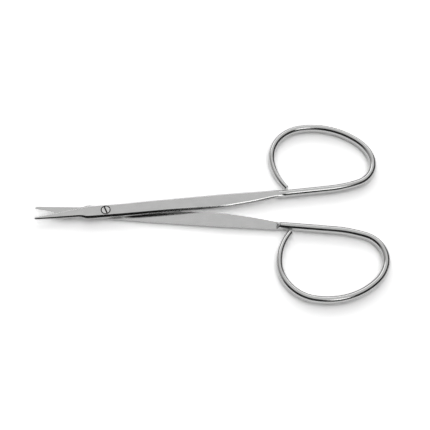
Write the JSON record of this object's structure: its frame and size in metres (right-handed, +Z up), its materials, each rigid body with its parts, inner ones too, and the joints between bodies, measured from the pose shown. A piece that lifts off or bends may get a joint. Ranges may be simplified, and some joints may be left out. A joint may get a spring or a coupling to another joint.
{
  "type": "surgical scissors",
  "caption": "Slim straight surgical scissors with narrow blades, flat shanks that end in bent wire finger rings, and a slotted pivot screw.",
  "frame": {"origin": "on the pivot axis, at the plane that the scissors lie on", "axes": "+X from the pivot towards the finger rings, halfway between the two, +Z up along the pivot axis towards the screw's head, +Y towards the upper half's ring"},
  "size_m": [0.1132, 0.0674, 0.0031],
  "materials": {
    "satin_steel": "satin, brushed lengthwise",
    "screw_steel": "turned, satin"
  },
  "bodies": {
    "lower": {"lower_half": "satin_steel", "pivot_screw": "screw_steel"},
    "upper": {"upper_half": "satin_steel"}
  },
  "joints": [
    {"name": "pivot", "type": "hinge", "parent": "lower", "child": "upper", "pos_m": [0, 0, 0], "axis": [0, 0, 1], "range_deg": [-8.4, 60]}
  ]
}
